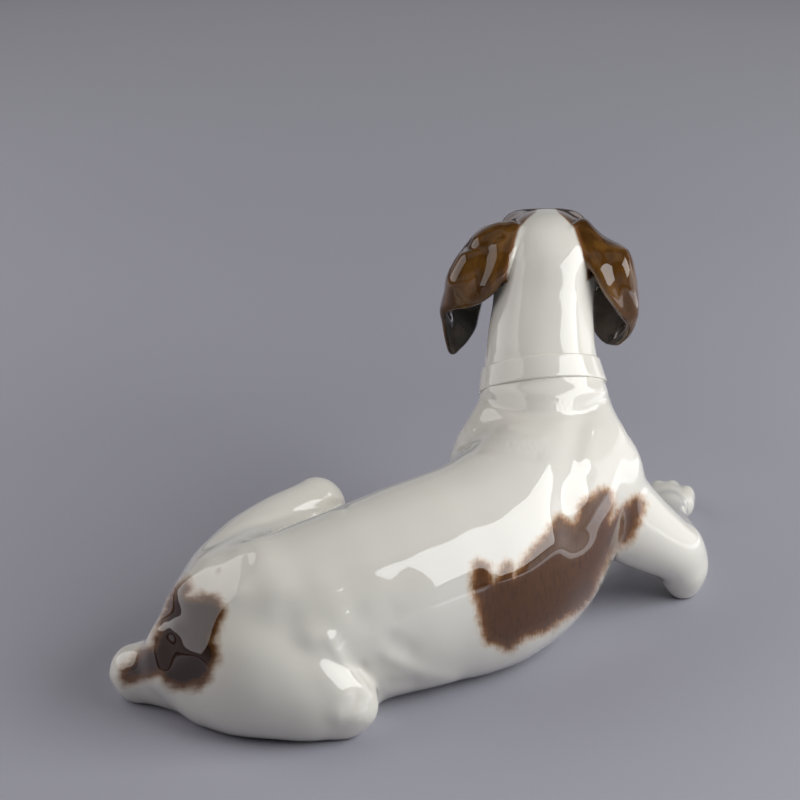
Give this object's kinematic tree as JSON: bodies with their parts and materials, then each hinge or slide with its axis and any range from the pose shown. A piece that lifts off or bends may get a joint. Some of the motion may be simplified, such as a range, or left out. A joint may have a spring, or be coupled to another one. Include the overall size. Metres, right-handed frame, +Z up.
{
  "type": "dog figurine",
  "caption": "Lying hound puppy with hanging ears, a glazed porcelain ornament luted together from hollow and solid castings.",
  "frame": {"origin": "middle of the figurine's box, on the surface it rests on", "axes": "+X from the tail towards the forepaws, +Z up"},
  "size_m": [0.2544, 0.1312, 0.1314],
  "materials": {
    "white_glaze": "gloss",
    "brown_glaze": "gloss"
  },
  "bodies": {
    "root": {"torso": "white_glaze", "head": "white_glaze", "left_ear": "brown_glaze", "right_ear": "brown_glaze", "collar": "white_glaze", "left_foreleg": "white_glaze", "right_foreleg": "white_glaze", "left_hind_leg": "white_glaze", "right_hind_leg": "white_glaze", "right_hind_foot": "white_glaze", "tail": "white_glaze"}
  },
  "joints": []
}
